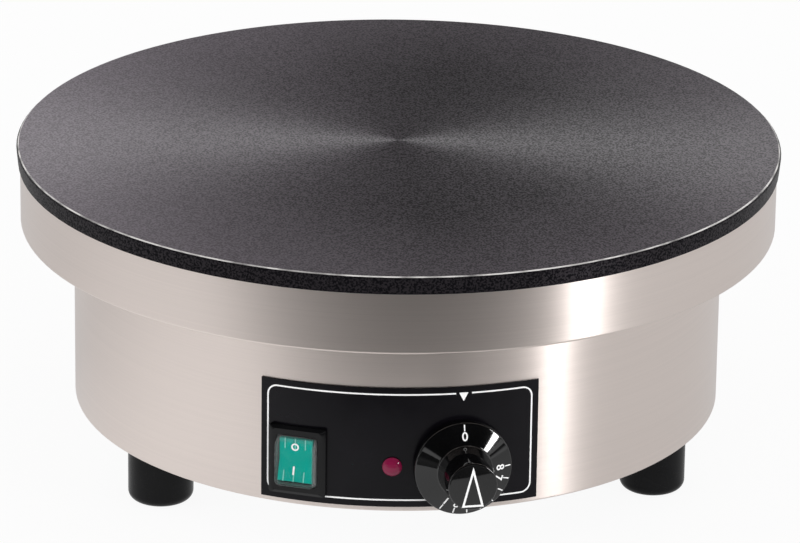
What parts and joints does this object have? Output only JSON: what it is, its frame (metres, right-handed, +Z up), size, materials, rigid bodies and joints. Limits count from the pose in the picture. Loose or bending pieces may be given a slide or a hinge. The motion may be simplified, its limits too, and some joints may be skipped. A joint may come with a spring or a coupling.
{
  "type": "crepe maker",
  "caption": "Round countertop crepe griddle: cast-iron plate on a stepped stainless casing with feet, a rocker switch under a clear cap, a pilot light and a thermostat knob.",
  "frame": {"origin": "on the ground under the centre of the griddle plate", "axes": "+Z up through the plate, +Y out of the back where the mains cable enters, the controls face -Y"},
  "size_m": [0.3999, 0.4, 0.1681],
  "materials": {
    "cast_iron": "seasoned, fine turned top",
    "stainless": "circumferential brushed",
    "zinc_steel": "bright zinc plated",
    "bright_sheet": "bright rolled sheet",
    "element_steel": "heat-darkened",
    "ceramic": "glazed ceramic, stands in for steatite",
    "mineral_wool": "soft mineral-fibre felt",
    "foot_plastic": "semi-gloss moulded",
    "panel_black": "satin overlay with a white print",
    "knob_black": "glossy moulded with a white print",
    "frame_black": "semi-gloss moulded",
    "housing_black": "moulded",
    "clear_cover": "clear flexible cover",
    "rocker_teal": "glossy translucent, with white marks",
    "lens_red": "clear deep red, unlit",
    "lamp_glass": "small neon lamp",
    "copper": "bare copper",
    "brass": "plain",
    "stat_body": "moulded and plated case",
    "rubber_black": "plain",
    "nylon_black": "moulded",
    "ivory_plastic": "moulded",
    "wire_brown": "silicone sleeve",
    "wire_blue": "silicone sleeve",
    "wire_green": "silicone sleeve"
  },
  "bodies": {
    "chassis": {"griddle_plate": "cast_iron", "upper_pan": "stainless", "casing_drum": "stainless", "base_cover": "zinc_steel", "cover_screws": "zinc_steel", "foot_front_left": "foot_plastic", "foot_front_right": "foot_plastic", "foot_rear": "foot_plastic", "foot_bolts": "zinc_steel", "tie_studs": "zinc_steel", "spacer_tubes": "zinc_steel", "stud_washers": "zinc_steel", "stud_nuts": "zinc_steel", "insulation_blanket": "mineral_wool", "reflector_plate": "bright_sheet", "heating_element": "element_steel", "element_bushes": "ceramic", "element_clamps": "zinc_steel", "clamp_screws": "zinc_steel", "sensing_bulb": "copper", "bulb_clips": "zinc_steel", "clip_screws": "zinc_steel", "capillary_tube": "copper", "capillary_grommet": "rubber_black", "safety_cutout": "stat_body", "cutout_screws": "zinc_steel", "thermostat_body": "stat_body", "thermostat_strap": "zinc_steel", "thermostat_screws": "zinc_steel", "control_panel": "panel_black", "switch_frame": "frame_black", "splash_cap": "clear_cover", "switch_housing": "housing_black", "lever_pins": "zinc_steel", "switch_terminals": "brass", "pilot_lens": "lens_red", "pilot_body": "housing_black", "pilot_lamp": "lamp_glass", "pilot_nut": "zinc_steel", "terminal_block": "ivory_plastic", "terminal_screws": "brass", "block_screws": "zinc_steel", "cable_gland": "nylon_black", "gland_cap": "nylon_black", "gland_seal": "rubber_black", "gland_locknut": "nylon_black", "earth_stud": "brass", "earth_lug": "zinc_steel", "earth_nut": "brass", "live_wires": "wire_brown", "neutral_wires": "wire_blue", "earth_wire": "wire_green"},
    "knob": {"knob": "knob_black", "knob_clip": "zinc_steel", "thermostat_shaft": "zinc_steel"},
    "rocker": {"switch_rocker": "rocker_teal", "switch_plungers": "ivory_plastic", "plunger_springs": "zinc_steel"},
    "levers": {"contact_levers": "brass"}
  },
  "joints": [
    {"name": "knob_turn", "type": "hinge", "parent": "chassis", "child": "knob", "pos_m": [0.03348, -0.16687, 0.055], "axis": [-0.1967, 0.9805, 0], "range_deg": [0, 272]},
    {"name": "rocker_tilt", "type": "hinge", "parent": "chassis", "child": "rocker", "pos_m": [-0.04823, -0.16218, 0.055], "axis": [0.9585, -0.2851, 0], "range_deg": [0, 18]},
    {"name": "lever_flip", "type": "hinge", "parent": "chassis", "child": "levers", "pos_m": [-0.04524, -0.15212, 0.055], "axis": [0.9585, -0.2851, 0], "range_deg": [-16, 0]}
  ],
  "couplings": [
    {"joint": "lever_flip", "follows": "rocker_tilt", "ratio": -0.8888}
  ]
}
